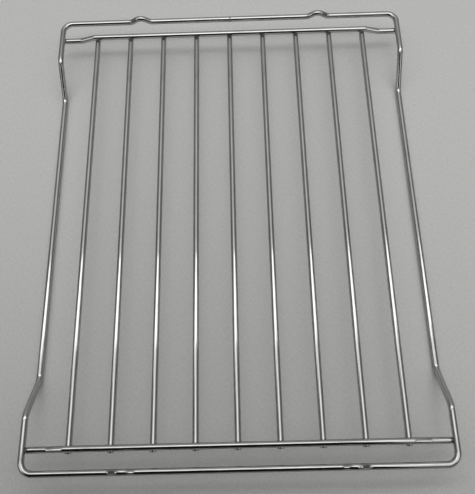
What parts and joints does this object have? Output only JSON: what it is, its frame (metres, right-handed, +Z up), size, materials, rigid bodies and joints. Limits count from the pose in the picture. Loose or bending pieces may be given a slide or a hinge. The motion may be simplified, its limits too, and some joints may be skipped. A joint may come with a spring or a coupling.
{
  "type": "oven shelf rack",
  "caption": "Welded round-wire oven shelf: a bent rectangular frame with runner bumps and lowered sides, cross bars and a grid of parallel wires that carries bakeware.",
  "frame": {"origin": "on the table, midway between the two low side runs that the shelf stands on", "axes": "+X across the shelf, square to the grid wires; +Y along the grid wires, from the front cross bar to the rear one; +Z up"},
  "size_m": [0.3644, 0.4634, 0.0375],
  "materials": {
    "plated_wire": "bright plated steel wire, lightly polished, with faint drawing lines"
  },
  "bodies": {
    "root": {"frame_wire": "plated_wire", "cross_bar_front": "plated_wire", "cross_bar_rear": "plated_wire", "grid_wire_1": "plated_wire", "grid_wire_2": "plated_wire", "grid_wire_3": "plated_wire", "grid_wire_4": "plated_wire", "grid_wire_5": "plated_wire", "grid_wire_6": "plated_wire", "grid_wire_7": "plated_wire", "grid_wire_8": "plated_wire", "grid_wire_9": "plated_wire"}
  },
  "joints": []
}
